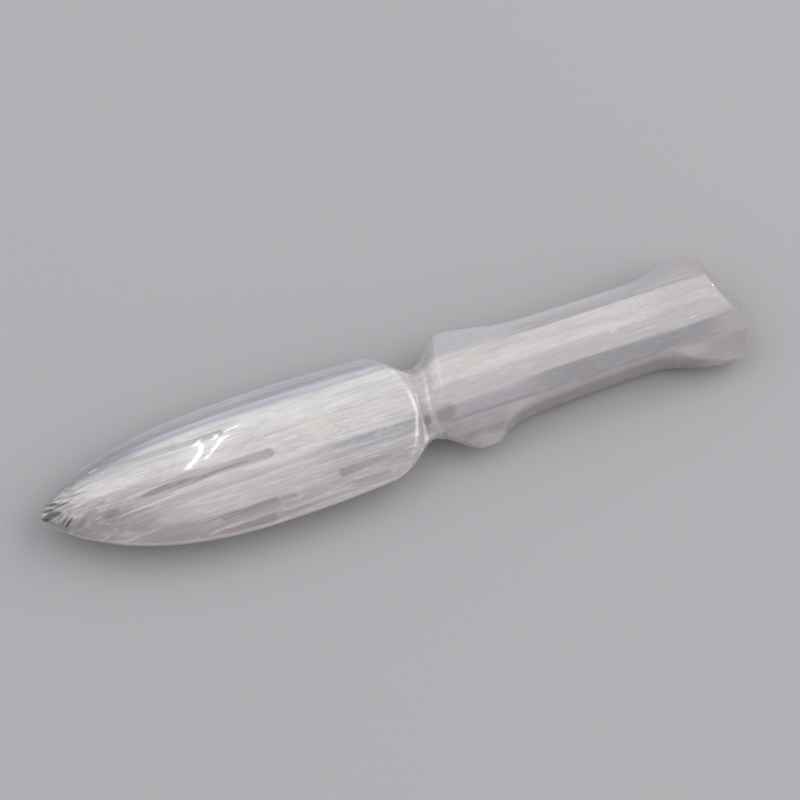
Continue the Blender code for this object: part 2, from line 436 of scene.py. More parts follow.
def cleft_mask(tree, place, round_end, tail, round_width, tail_width, softness):
    """Where a cleft shows, fading towards its tail."""
    node = tree.nodes.new("ShaderNodeGroup")
    node.node_tree = cleft
    join(tree, node.inputs["Place"], place)
    node.inputs["Round end"].default_value = (*round_end, 0.0)
    node.inputs["Tail"].default_value = (*tail, 0.0)
    node.inputs["Round width"].default_value = round_width / 2
    node.inputs["Tail width"].default_value = tail_width / 2
    node.inputs["Softness"].default_value = softness
    kept = calc(tree, "MULTIPLY_ADD", node.outputs["Way"], -CLEFT_FADE, 1.0)
    return calc(tree, "MULTIPLY", node.outputs["Mask"], kept)


WHITE_MILK = shade(250, 247, 244)
MILK = shade(235, 231, 226)
WARM_MILK = shade(228, 219, 213)
FIBRE_GREY = shade(203, 195, 194)
# silver is the colour of the silvery fibres and also of the painted highlights and glints
SILVER = shade(252, 251, 250)
NEAR_MILK = shade(217, 211, 212)
NEAR_BROWN = shade(190, 179, 178)
EDGE_BROWN = shade(170, 157, 153)
TORN_BROWN = shade(158, 147, 146)
TIP_ROSE = shade(180, 168, 169)
TIP_SHADE_GREY = shade(150, 142, 142)
STEEL = shade(184, 182, 187)
BLUE_PALE = shade(210, 210, 220)
BLUE_LIGHT = shade(230, 231, 243)
BLUE_DEEP = shade(180, 180, 192)
BLUE_DIM = shade(156, 155, 165)
OUTER_GREY = shade(199, 198, 205)
RIM = shade(220, 217, 218)
# painted highlight along the thin edges of the blade
EDGE_HIGHLIGHT = shade(236, 228, 222)
HANDLE_MILK = shade(234, 229, 225)
POMMEL_MILK = shade(217, 211, 210)
HANDLE_GREY = shade(206, 202, 203)
FLANK_GREY = shade(208, 205, 207)
POMMEL_GREY = shade(186, 182, 185)
BAND_DARK = shade(161, 157, 161)
BAND_PALE = shade(184, 179, 183)
BAND_LINE = shade(188, 178, 177)
# Painted shade on the sawn near side of the handle: brown low down, paler near its top
WALL_SHADE_BROWN = shade(165, 151, 146)
WALL_SHADE_TOP = shade(208, 197, 193)
STEEL_MILK = shade(202, 198, 200)
NEAR_WARM = shade(201, 190, 188)
FINGER = shade(192, 183, 182)
CORE_GREY = shade(134, 127, 127)
DARK_CLEFT = shade(10, 9, 9)
PATCH_GREY = shade(204, 201, 197)
NECK_GREY = shade(198, 192, 191)
NECK_DARK = shade(128, 121, 121)
ROSE = shade(173, 159, 162)
END_ROSE = shade(187, 177, 179)
STRAW = shade(232, 224, 206)

# Lanes of clearer and milkier stone.  On the blade they run from its near edge at
# -1 to its far edge at 1, first in its middle, then by its tip and its shoulder
BLADE_LANES = (
    (-1.0, EDGE_BROWN), (-0.92, EDGE_BROWN), (-0.86, NEAR_BROWN), (-0.76, NEAR_BROWN),
    (-0.70, NEAR_MILK), (-0.545, NEAR_MILK), (-0.528, MILK), (-0.51, NEAR_MILK),
    (-0.345, NEAR_MILK), (-0.31, MILK), (0.10, MILK), (0.22, WHITE_MILK), (0.56, WHITE_MILK),
    (0.59, BLUE_PALE), (0.635, BLUE_PALE),
    (0.665, BLUE_LIGHT), (0.69, BLUE_LIGHT), (0.715, BLUE_PALE), (0.75, BLUE_DEEP),
    (0.82, BLUE_DEEP), (0.855, OUTER_GREY), (0.925, OUTER_GREY), (0.94, RIM), (0.96, OUTER_GREY),
)
TIP_LANES = (
    (-1.0, EDGE_BROWN), (-0.88, TIP_ROSE), (-0.64, TIP_ROSE), (-0.50, TORN_BROWN),
    (-0.38, TIP_ROSE), (-0.12, NEAR_BROWN), (0.0, MILK), (0.28, MILK), (0.36, HANDLE_GREY),
    (0.44, PATCH_GREY),
    (0.50, BLUE_DEEP), (0.60, BLUE_DIM), (0.82, BLUE_DIM), (0.88, BLUE_DEEP), (1.0, OUTER_GREY),
)
SHOULDER_LANES = (
    (-1.0, EDGE_BROWN), (-0.92, NEAR_BROWN), (-0.84, NEAR_WARM), (-0.70, NEAR_WARM),
    (-0.665, NEAR_BROWN), (-0.64, NEAR_BROWN), (-0.60, STEEL_MILK), (-0.535, STEEL_MILK),
    (-0.52, STEEL), (-0.475, STEEL), (-0.46, STEEL_MILK), (-0.445, STEEL_MILK), (-0.43, STEEL),
    (-0.41, STEEL), (-0.40, STEEL_MILK), (-0.385, STEEL), (-0.35, STEEL), (-0.32, STEEL_MILK),
    (-0.26, MILK), (0.08, MILK), (0.20, WHITE_MILK), (0.53, WHITE_MILK), (0.56, BLUE_PALE),
    (0.61, BLUE_LIGHT),
    (0.67, BLUE_LIGHT), (0.71, BLUE_PALE), (0.75, BLUE_DEEP), (0.80, BLUE_DEEP),
    (0.84, OUTER_GREY), (0.91, OUTER_GREY), (0.94, RIM), (0.96, OUTER_GREY),
)
# On the handle they are given in millimetres from the middle line
GUARD_LANES = (
    (-20.0, BAND_LINE), (-15.0, BAND_LINE), (-14.3, BAND_DARK), (-13.5, BAND_DARK),
    (-12.8, BAND_LINE), (-11.2, BAND_LINE), (-10.6, BAND_PALE), (-10.1, BAND_DARK),
    (-9.8, BAND_DARK), (-9.3, BAND_PALE), (-7.0, BAND_PALE), (-5.9, HANDLE_GREY),
    (-1.8, HANDLE_GREY), (0.4, HANDLE_MILK), (7.3, HANDLE_MILK), (7.9, FLANK_GREY),
    (20.0, FLANK_GREY),
)
WAIST_LANES = (
    (-20.0, BAND_LINE), (-10.9, BAND_LINE), (-10.4, BAND_DARK), (-5.9, BAND_DARK),
    (-5.3, HANDLE_GREY), (-1.8, HANDLE_GREY), (0.4, HANDLE_MILK), (7.0, HANDLE_MILK),
    (7.5, POMMEL_GREY), (9.5, POMMEL_GREY), (11.5, FLANK_GREY), (20.0, FLANK_GREY),
)
POMMEL_LANES = (
    (-20.0, BAND_PALE), (-14.5, BAND_PALE), (-11.2, BAND_LINE), (-10.4, BAND_DARK),
    (-6.3, BAND_DARK), (-5.6, HANDLE_GREY), (-1.8, HANDLE_GREY), (0.4, POMMEL_MILK),
    (7.0, POMMEL_MILK), (7.5, POMMEL_GREY), (20.0, POMMEL_GREY),
)

# From here on a grade holds the two places between which it comes on and, where they
# aren't 0 and 1, what it is before and after.  A lane holds its two sides, how soft
# they are and how strong it is.
TO_TIP = (-60.0, -84.0)
TO_SHOULDER = (-34.0, -16.0)
TO_HANDLE = (108.0, 116.0)  # stations
TO_WAIST = (28.0, 44.0)
TO_POMMEL = (62.0, 82.0)
LANE_WANDER = 0.07  # of half the width
HANDLE_WANDER = 9.0  # millimetres for half the width
WALL = (26.0, 84.0, 4.0)  # where the sawn near side of the handle is painted with shade
WALL_TOP = (12.9, 12.1)
WALL_SIDE = (-9.0, -10.0)
WALL_SHADE_LIFT = (7.6, 11.2)  # height over which its painted shade turns pale
HANDLE_TOP = (-5.2, 7.5, 0.6)
POMMEL_TINT = (84.0, 93.0, 0.0, 0.85)
# painted shade darkening the stone towards its tip
TIP_SHADE = (-86.0, -96.0, 0.0, 0.6)
NECK = (96.5, 112.0, 3.0)
NECK_CLOUD = (0.36, 0.60, 0.95, 0.55)

# Noise drawn out along the fibres: how far it runs, how wide it is, detail and seed
GRAINS = {
    "wander": (50.0, 2.0, 2.0, 41.0),
    "cloud": (10.0, 4.5, 2.0, 31.0),
    "bundles": (90.0, 2.4, 2.0, 3.0),
    "strands": (22.0, 0.8, 2.0, 17.0),
    "threads": (10.0, 0.3, 2.0, 11.0),
    "mottle": (4.0, 1.1, 3.0, 83.0),
    "uneven": (7.0, 2.0, 2.0, 59.0),
    "ragged": (1.8, 1.1, 2.0, 61.0),
    "specks": (1.4, 0.5, 1.0, 67.0),
    "flecks": (2.6, 0.4, 1.0, 71.0),
    "breaks": (3.2, 0.36, 1.0, 23.0),
    "broken": (20.0, 6.0, 2.0, 53.0),
}
BUNDLE_SHARE = 0.45  # of the bundles in the ropes, the rest is strands
# The fibres as darker and lighter layers: colour, grain, grade
FIBRE_LAYERS = (
    (FIBRE_GREY, "cloud", (0.44, 0.66, 0.0, 0.25)),
    (BAND_DARK, "ropes", (0.50, 0.64, 0.0, 0.27)),
    (SILVER, "ropes", (0.49, 0.38, 0.0, 0.30)),
    (FIBRE_GREY, "threads", (0.52, 0.70, 0.0, 0.25)),
    (SILVER, "threads", (0.46, 0.30, 0.0, 0.24)),
    (FIBRE_GREY, "mottle", (0.50, 0.68, 0.0, 0.28)),
    (SILVER, "mottle", (0.48, 0.32, 0.0, 0.22)),
)
# How much weaker they are on the handle, from its top to its near side, and how
# strong on the far side of the whole knife
HANDLE_CALM = (-4.5, -7.0, 0.35, 0.65)
FAR_CALM = (0.56, 0.64, 1.0, 0.5)
# Splinters by the tip, with painted glints among them: colour, grade along the knife, grade of the
# threads
SPLINTERS_AND_GLINTS = (
    (CORE_GREY, (-82.0, -94.0, 0.0, 0.75), (0.50, 0.60)),
    (SILVER, (-80.0, -92.0, 0.0, 0.3), (0.44, 0.34)),
)
SPLINTERS_AND_GLINTS_ACROSS = (-0.75, -0.35)
UNDER_BORDER = 0.1  # half the height over which the under side's marks replace the top's
UNDER_SHIFT = 14.0  # how much nearer the tip they lie
# Torn bundles with stepped ends: colour, low and high side, first and last place, strength
TORN = (
    (TORN_BROWN, -16.0, -13.0, -7.0, -1.5, 0.45),
    (TORN_BROWN, -19.0, -16.2, -22.0, -11.8, 0.5),
    (TORN_BROWN, -17.2, -13.9, -58.0, -37.5, 1.0),
    (PATCH_GREY, 3.6, 8.7, -80.0, -60.0, 1.0),
    (FIBRE_GREY, 3.4, 5.8, -47.0, -37.0, 0.6),
)
TORN_STEPS = ((0.9, 6.0), (0.35, 2.0))  # widths of fibres and how far their ends lie apart
TORN_WOBBLE = 1.0
TORN_FADE = 0.3  # full strength this far from the high side
TORN_SIDE = (-0.1, 0.15)  # where the high side ends
TORN_END = 0.25
TORN_WORN = (0.36, 0.56, 0.45, 1.0)
# Clefts with one round end: colour, round end, tail, widths at both, softness, strength
ROUNDED = (
    (FINGER, (-38.3, -3.1), (-62.0, -2.8), 2.7, 2.4, 0.3, 1.0),
    (FINGER, (-48.7, 7.0), (-62.0, 7.2), 1.9, 1.6, 0.3, 0.9),
    (TORN_BROWN, (-21.4, -13.4), (-8.0, -13.1), 2.1, 1.0, 0.25, 0.7),
    (TORN_BROWN, (-42.5, -18.3), (-60.0, -18.1), 2.0, 1.2, 0.4, 0.9),
)
CLEFT_FADE = 0.45
# Slits, streaks, tints and painted glints: colour, middle, half length, half width, turn, strength
BLOTS = (
    (EDGE_BROWN, (-69.0, -14.0), 12.0, 2.6, -4.0, 0.75),
    (CORE_GREY, (-62.0, -1.2), 10.0, 0.6, 1.0, 0.35),
    (CORE_GREY, (-66.5, -2.9), 9.5, 1.1, 1.0, 0.85),
    (CORE_GREY, (-52.0, -3.3), 10.0, 0.6, 0.0, 0.6),
    (CORE_GREY, (-61.0, -4.1), 9.0, 0.5, 2.0, 0.55),
    (FIBRE_GREY, (-70.0, -4.6), 8.0, 0.6, 2.0, 0.6),
    (SILVER, (-70.0, -5.7), 12.0, 0.35, 1.0, 0.6),
    (SILVER, (-56.0, -8.4), 9.0, 0.3, 1.0, 0.4),
    (CORE_GREY, (-82.2, -4.4), 3.2, 1.0, 4.0, 0.75),
    (CORE_GREY, (-87.0, -2.1), 2.4, 0.9, 4.0, 0.75),
    (CORE_GREY, (-90.5, -3.4), 2.6, 0.9, 8.0, 0.5),
    (CORE_GREY, (-84.5, -0.8), 3.5, 0.5, 4.0, 0.4),
    (CORE_GREY, (-75.0, -9.5), 5.0, 0.8, 2.0, 0.3),
    (DARK_CLEFT, (-96.6, 1.8), 3.4, 0.95, -9.0, 1.0),
    (DARK_CLEFT, (-97.4, 1.8), 1.8, 1.1, -9.0, 1.0),
    (DARK_CLEFT, (-97.2, 3.5), 2.0, 0.65, -18.0, 1.0),
    (DARK_CLEFT, (-95.9, 4.7), 2.1, 0.6, -22.0, 1.0),
    (DARK_CLEFT, (-93.6, 3.4), 2.6, 0.45, -4.0, 0.8),
    (CORE_GREY, (-90.0, 4.6), 3.0, 0.3, -6.0, 0.7),
    (DARK_CLEFT, (-93.0, -1.8), 1.7, 0.5, 21.0, 1.0),
    (DARK_CLEFT, (-93.8, -0.9), 1.6, 0.4, 24.0, 0.8),
    (DARK_CLEFT, (-94.4, 0.3), 1.4, 0.3, 27.0, 0.6),
    # painted glints: short silver spots where the polish mirrors the light
    (SILVER, (-6.5, 12.1), 3.0, 0.6, 0.0, 0.9),
    (SILVER, (-83.0, 9.5), 1.8, 0.35, 8.0, 1.0),
    (SILVER, (60.9, -1.0), 1.4, 0.4, 6.0, 0.5),
    (SILVER, (62.8, -2.6), 0.9, 0.25, 0.0, 0.5),
    (SILVER, (44.3, 0.6), 0.7, 0.35, 0.0, 0.5),
    (SILVER, (82.9, -4.4), 1.2, 0.3, 0.0, 0.6),
    (SILVER, (91.7, -0.4), 0.7, 0.4, 0.0, 0.7),
    (SILVER, (-36.2, 1.2), 2.6, 0.5, 0.0, 0.7),
    (SILVER, (-31.5, -0.8), 2.2, 0.45, 0.0, 0.6),
    (STRAW, (3.4, 6.8), 2.4, 2.0, 0.0, 0.4),
    (STRAW, (11.0, 6.8), 2.0, 1.8, 0.0, 0.5),
    (STRAW, (21.0, 4.0), 4.0, 2.4, 0.0, 0.3),
    (NECK_DARK, (4.8, -7.0), 1.2, 1.5, 0.0, 0.6),
    (NECK_DARK, (3.3, -7.8), 2.0, 3.0, 0.0, 0.4),
    (NECK_DARK, (9.8, -7.4), 3.4, 2.4, 0.0, 0.45),
)
BLOT_RIM = (1.1, 0.5)  # shares of its size between which a blot fades in
BLOT_THREADS = (0.58, 0.46, 0.7, 1.0)
CRACK = -24.6  # where a crack runs across the blade
CRACK_WANDER = 3.6
# The crack, with specks of clay and torn fibres behind it: colour, lane counted from
# the crack, lane across the knife, grain that breaks it up and its grade
CRACK_MARKS = (
    (SILVER, (-0.25, 0.25, 0.25, 0.55), (-4.5, 7.5, 1.5), None, ()),
    (MILK, (-1.0, 3.5, 1.5, 0.5), (-4.5, 7.5, 1.5), None, ()),
    (NEAR_BROWN, (2.0, 12.0, 3.0, 0.4), (-4.6, 3.0, 1.6), "specks", (0.54, 0.70)),
    (SILVER, (0.0, 20.0, 3.0, 0.45), (-5.5, 1.0, 1.2), "flecks", (0.58, 0.68)),
)
# Painted highlights: silvery breaks in the fibres, lines along the shoulder, the neck ridges and
# the guard, and a band along the thin edges of the blade
BREAKS = (0.60, 0.70)
BROKEN_PLACES = (0.50, 0.62)
BREAKS_ACROSS = (-0.3, 0.5, 0.05, 0.45)
SHOULDER_HIGHLIGHT = (95.0, 95.7, 0.3, 0.12)
NECK_HIGHLIGHTS = ((106.9, 107.4, 0.2, 0.12), (107.9, 108.2, 0.2, 0.12))
GUARD_HIGHLIGHT = (115.2, 115.9, 0.4, 0.22)
GUARD_HIGHLIGHT_ACROSS = (-1.0, 13.0, 1.5)
EDGE_HIGHLIGHT_BAND = (0.965, 0.985, 0.0, 0.6)
BLADE_END = (0.0, -6.0)
LAPPED_FACING = (0.35, 0.6)  # how squarely a lapped facet faces along X
LAPPED_PLACE = (85.0, 92.0)


def satin_spar():
    """Milky stone with silky fibres, clearer bluish lanes and a soft polish, with painted shade,
    highlights and glints.
    """
    material = bpy.data.materials.new("satin_spar")
    material.use_nodes = True
    tree = material.node_tree
    shader = tree.nodes["Principled BSDF"]

    coordinates = tree.nodes.new("ShaderNodeTexCoord")
    scaled = tree.nodes.new("ShaderNodeVectorMath")
    scaled.operation = "SCALE"
    scaled.inputs["Scale"].default_value = 1 / MM
    join(tree, scaled.inputs[0], coordinates.outputs["Object"])
    place = scaled.outputs["Vector"]
    split = tree.nodes.new("ShaderNodeSeparateXYZ")
    join(tree, split.inputs[0], place)
    x, y, z = split.outputs["X"], split.outputs["Y"], split.outputs["Z"]
    grains = {name: grain(tree, place, *numbers) for name, numbers in GRAINS.items()}

    def carved(name):
        node = tree.nodes.new("ShaderNodeAttribute")
        node.attribute_name = name
        return node.outputs["Fac"]

    def paint(below, above, *masks):
        mask = masks[0]
        for other in masks[1:]:
            mask = calc(tree, "MULTIPLY", mask, other)
        return over(tree, below, above, mask)

    station = carved("station")
    share = carved("across")
    on_handle = grade(tree, station, *TO_HANDLE)

    # lanes, whose borders wander a little
    wander = calc(tree, "MULTIPLY_ADD", grains["wander"], LANE_WANDER, -LANE_WANDER / 2)
    edge_way = calc(tree, "ADD", share, wander)
    blade = banded(tree, edge_way, BLADE_LANES)
    for lanes, border in ((TIP_LANES, TO_TIP), (SHOULDER_LANES, TO_SHOULDER)):
        blade = over(tree, blade, banded(tree, edge_way, lanes), grade(tree, x, *border))
    middle_way = calc(tree, "MULTIPLY_ADD", wander, HANDLE_WANDER, y)
    handle = banded(tree, middle_way, GUARD_LANES)
    for lanes, border in ((WAIST_LANES, TO_WAIST), (POMMEL_LANES, TO_POMMEL)):
        handle = over(tree, handle, banded(tree, middle_way, lanes), grade(tree, x, *border))
    # painted shade on the sawn near side of the handle, brown and darker low down, paler towards
    # its top
    low_side = calc(tree, "MULTIPLY", grade(tree, z, *WALL_TOP), grade(tree, y, *WALL_SIDE))
    wall_shade_mask = calc(tree, "MULTIPLY", low_side, lane(tree, x, *WALL))
    wall_shade = over(tree, WALL_SHADE_BROWN, WALL_SHADE_TOP, grade(tree, z, *WALL_SHADE_LIFT))
    handle = over(tree, handle, wall_shade, wall_shade_mask)
    off_top = calc(tree, "SUBTRACT", 1.0, lane(tree, y, *HANDLE_TOP))
    handle = paint(handle, END_ROSE, grade(tree, x, *POMMEL_TINT), off_top)
    colour = over(tree, blade, handle, on_handle)
    # painted shade, darker towards the very tip
    colour = paint(colour, TIP_SHADE_GREY, grade(tree, x, *TIP_SHADE))
    in_neck = lane(tree, station, *NECK)
    colour = paint(colour, NECK_GREY, in_neck, grade(tree, grains["cloud"], *NECK_CLOUD))

    # the fibres, calmer on the handle and on the far side
    fine_part = calc(tree, "MULTIPLY", grains["strands"], 1 - BUNDLE_SHARE)
    grains["ropes"] = calc(tree, "MULTIPLY_ADD", grains["bundles"], BUNDLE_SHARE, fine_part)
    calm = calc(tree, "MULTIPLY", on_handle, grade(tree, y, *HANDLE_CALM))
    calm = calc(tree, "SUBTRACT", 1.0, calm)
    lively = calc(tree, "MULTIPLY", grade(tree, share, *FAR_CALM), calm)
    for above, name, limits in FIBRE_LAYERS:
        colour = paint(colour, above, grade(tree, grains[name], *limits), lively)
    # dark splinters by the tip and, in silver, painted glints among them
    upper = grade(tree, share, *SPLINTERS_AND_GLINTS_ACROSS)
    for above, place_limits, thread_limits in SPLINTERS_AND_GLINTS:
        splinters_and_glints = calc(tree, "MULTIPLY", grade(tree, x, *place_limits), upper)
        colour = paint(colour, above, grade(tree, grains["threads"], *thread_limits), splinters_and_glints)

    # clefts between the fibres; the lower half of the stone has its own, further
    # towards the tip and across from those on top
    beneath = grade(tree, z, HALF_THICKNESS + UNDER_BORDER, HALF_THICKNESS - UNDER_BORDER)
    mark_x = calc(tree, "MULTIPLY_ADD", beneath, UNDER_SHIFT, x)
    mark_y = calc(tree, "MULTIPLY", y, calc(tree, "MULTIPLY_ADD", beneath, -2.0, 1.0))
    spot = tree.nodes.new("ShaderNodeCombineXYZ")
    join(tree, spot.inputs["X"], mark_x)
    join(tree, spot.inputs["Y"], mark_y)

    stepped = mark_x
    for width, depth in TORN_STEPS:
        row = calc(tree, "FLOOR", calc(tree, "DIVIDE", y, width))
        end = tree.nodes.new("ShaderNodeTexWhiteNoise")
        end.noise_dimensions = "1D"
        join(tree, end.inputs["W"], row)
        step = calc(tree, "MULTIPLY_ADD", end.outputs["Value"], depth, -depth / 2)
        stepped = calc(tree, "ADD", stepped, step)
    uneven = calc(tree, "MULTIPLY_ADD", grains["uneven"], TORN_WOBBLE, -TORN_WOBBLE / 2)
    uneven = calc(tree, "ADD", mark_y, uneven)
    worn = grade(tree, grains["strands"], *TORN_WORN)
    for above, low, high, first, last, strength in TORN:
        rise = grade(tree, uneven, low, high - TORN_FADE, 0.0, strength)
        fall = grade(tree, uneven, high + TORN_SIDE[0], high + TORN_SIDE[1], 0.0, strength)
        side = calc(tree, "SUBTRACT", rise, fall)
        colour = paint(colour, above, side, lane(tree, stepped, first, last, TORN_END), worn)
    for above, end, tail, width, tail_width, softness, strength in ROUNDED:
        mask = cleft_mask(tree, spot.outputs["Vector"], end, tail, width, tail_width, softness)
        colour = paint(colour, above, mask, strength)
    stringy = grade(tree, grains["threads"], *BLOT_THREADS)
    for above, middle, reach, width, turned, strength in BLOTS:
        mark = blot(tree, spot.outputs["Vector"], middle, reach, width, turned, strength)
        colour = paint(colour, above, mark, stringy)

    # the crack across the blade
    ragged = calc(tree, "MULTIPLY_ADD", grains["ragged"], CRACK_WANDER, -CRACK_WANDER / 2)
    off_crack = calc(tree, "SUBTRACT", calc(tree, "ADD", x, ragged), CRACK)
    for above, behind, across, name, limits in CRACK_MARKS:
        masks = [lane(tree, off_crack, *behind), lane(tree, y, *across)]
        if name:
            masks.append(grade(tree, grains[name], *limits))
        colour = paint(colour, above, *masks)

    # painted highlights on silvery breaks in the fibres and on the edges and ridges that catch the
    # light
    breaks = grade(tree, grains["breaks"], *BREAKS)
    broken = grade(tree, grains["broken"], *BROKEN_PLACES)
    colour = paint(colour, SILVER, breaks, broken, lane(tree, share, *BREAKS_ACROSS))
    for line in (SHOULDER_HIGHLIGHT, *NECK_HIGHLIGHTS):
        colour = paint(colour, SILVER, lane(tree, station, *line))
    guard_highlight = lane(tree, station, *GUARD_HIGHLIGHT)
    colour = paint(colour, SILVER, guard_highlight, lane(tree, y, *GUARD_HIGHLIGHT_ACROSS))
    sides = grade(tree, calc(tree, "ABSOLUTE", share), *EDGE_HIGHLIGHT_BAND)
    colour = paint(colour, EDGE_HIGHLIGHT, sides, grade(tree, x, *BLADE_END))
    facing = tree.nodes.new("ShaderNodeSeparateXYZ")
    join(tree, facing.inputs[0], tree.nodes.new("ShaderNodeNewGeometry").outputs["Normal"])
    lapped = grade(tree, facing.outputs["X"], *LAPPED_FACING)
    colour = paint(colour, ROSE, lapped, grade(tree, x, *LAPPED_PLACE))

    join(tree, shader.inputs["Base Color"], colour)
    shader.inputs["Roughness"].default_value = 0.2
    shader.inputs["IOR"].default_value = 1.52
    shader.inputs["Transmission Weight"].default_value = 0.5
    shader.inputs["Coat Weight"].default_value = 1.0
    shader.inputs["Coat Roughness"].default_value = 0.045
    shader.inputs["Subsurface Weight"].default_value = 0.6
    shader.inputs["Subsurface Radius"].default_value = (0.0015, 0.0015, 0.0015)
    shader.inputs["Subsurface Scale"].default_value = 1.0

    bump = tree.nodes.new("ShaderNodeBump")
    bump.inputs["Strength"].default_value = 0.15
    bump.inputs["Distance"].default_value = 0.0001
    join(tree, bump.inputs["Height"], grains["threads"])
    join(tree, shader.inputs["Normal"], bump.outputs["Normal"])

    absorption = tree.nodes.new("ShaderNodeVolumeAbsorption")
    absorption.inputs["Color"].default_value = (0.86, 0.87, 0.92, 1.0)
    absorption.inputs["Density"].default_value = 12.0
    join(tree, tree.nodes["Material Output"].inputs["Volume"], absorption.outputs["Volume"])
    return material


def fibre_relief():
    """Geometry nodes that press the lie of the fibres into a surface."""
    tree = bpy.data.node_groups.new("fibre_relief", "GeometryNodeTree")
    face = tree.interface
    face.new_socket("Geometry", in_out="INPUT", socket_type="NodeSocketGeometry")
    for name in ("Thread depth", "Swell depth"):
        face.new_socket(name, in_out="INPUT", socket_type="NodeSocketFloat")
    face.new_socket("Material", in_out="INPUT", socket_type="NodeSocketMaterial")
    face.new_socket("Geometry", in_out="OUTPUT", socket_type="NodeSocketGeometry")
    given = tree.nodes.new("NodeGroupInput").outputs
    position = tree.nodes.new("GeometryNodeInputPosition").outputs[0]

    def waves(run, width, depth):
        stretched = tree.nodes.new("ShaderNodeVectorMath")
        stretched.operation = "MULTIPLY"
        stretched.inputs[1].default_value = (1 / (run * MM), 1 / (width * MM), 1 / (width * MM))
        join(tree, stretched.inputs[0], position)
        noise = tree.nodes.new("ShaderNodeTexNoise")
        noise.inputs["Scale"].default_value = 1.0
        join(tree, noise.inputs["Vector"], stretched.outputs["Vector"])
        return calc(tree, "MULTIPLY", noise.outputs["Fac"], depth)

    threads = waves(*THREAD_WAVES, given["Thread depth"])
    swell = waves(*SWELL_WAVES, given["Swell depth"])
    depth = calc(tree, "ADD", threads, swell)
    inward = tree.nodes.new("ShaderNodeVectorMath")
    inward.operation = "SCALE"
    join(tree, inward.inputs[0], tree.nodes.new("GeometryNodeInputNormal").outputs[0])
    join(tree, inward.inputs["Scale"], calc(tree, "MULTIPLY", depth, -1.0))
    press = tree.nodes.new("GeometryNodeSetPosition")
    realize = tree.nodes.new("GeometryNodeRealizeInstances")
    dress = tree.nodes.new("GeometryNodeSetMaterial")
    join(tree, press.inputs["Geometry"], given["Geometry"])
    join(tree, press.inputs["Offset"], inward.outputs["Vector"])
    join(tree, realize.inputs["Geometry"], press.outputs["Geometry"])
    join(tree, dress.inputs["Geometry"], realize.outputs["Geometry"])
    join(tree, dress.inputs["Material"], given["Material"])
    join(tree, tree.nodes.new("NodeGroupOutput").inputs["Geometry"], dress.outputs["Geometry"])
    return tree


def grown(piece, tree, values):
    """The piece with its node tree's result as a plain mesh."""
    modifier = piece.modifiers.new(tree.name, "NODES")
    modifier.node_group = tree
    for item in tree.interface.items_tree:
        if item.in_out == "INPUT" and item.name in values:
            modifier[item.identifier] = values[item.name]
    piece.update_tag()
    bpy.context.view_layer.update()
    ready = piece.evaluated_get(bpy.context.evaluated_depsgraph_get())
    mesh = bpy.data.meshes.new_from_object(ready)
    piece.modifiers.remove(modifier)
    piece.data = mesh
    return mesh


stone = bpy.data.objects.new("knife_stone", carved_stone())
bpy.context.scene.collection.objects.link(stone)
stone_finish = satin_spar()
stone.data.materials.append(stone_finish)
grown(stone, fibre_relief(), {
    "Thread depth": THREAD_DEPTH * MM,
    "Swell depth": SWELL_DEPTH * MM,
    "Material": stone_finish,
})
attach(stone, "root")
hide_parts("knife")

# Silvery fibres sealed in the stone: where the crystals have parted a little from
# each other, single ones show as fine threads of light, all of them lying along X.
FIBRE_SIDES = 5
UPPER_FIBRES = 1500
LOWER_FIBRES = 700
FIBRE_REACH = (1.5, 9.0)  # half lengths
FIBRE_THICKNESS = (0.04, 0.12)
FIBRE_CLEARANCE = 0.2  # stone left over a fibre
FIBRE_RINGS = ((-0.55, 0.8), (0.0, 1.0), (0.55, 0.8))  # place and thickness, as shares
FIBRE_PROBES = (-1.0, -0.5, 0.0, 0.5, 1.0)  # places where the room is tried
GLIMMER_SCALE = 300.0
FIBRE_ROUGHNESS = 0.4


def one_fibre():
    """A spindle of unit half length and unit half thickness, pointed at both ends."""
    bm = bmesh.new()
    rings = []
    for x, radius in FIBRE_RINGS:
        turns = [2 * math.pi * i / FIBRE_SIDES for i in range(FIBRE_SIDES)]
        rings.append([bm.verts.new((x, radius * math.cos(t), radius * math.sin(t))) for t in turns])
    ends = [bm.verts.new((-1.0, 0.0, 0.0)), bm.verts.new((1.0, 0.0, 0.0))]
    for i in range(FIBRE_SIDES):
        following = (i + 1) % FIBRE_SIDES
        bm.faces.new((ends[0], rings[0][i], rings[0][following]))
        bm.faces.new((ends[1], rings[-1][i], rings[-1][following]))
        for ring, beyond in zip(rings, rings[1:]):
            bm.faces.new((ring[i], beyond[i], beyond[following], ring[following]))
    bmesh.ops.recalc_face_normals(bm, faces=bm.faces[:])
    mesh = bpy.data.meshes.new("one_fibre")
    bm.to_mesh(mesh)
    bm.free()
    return bpy.data.objects.new("one_fibre", mesh)


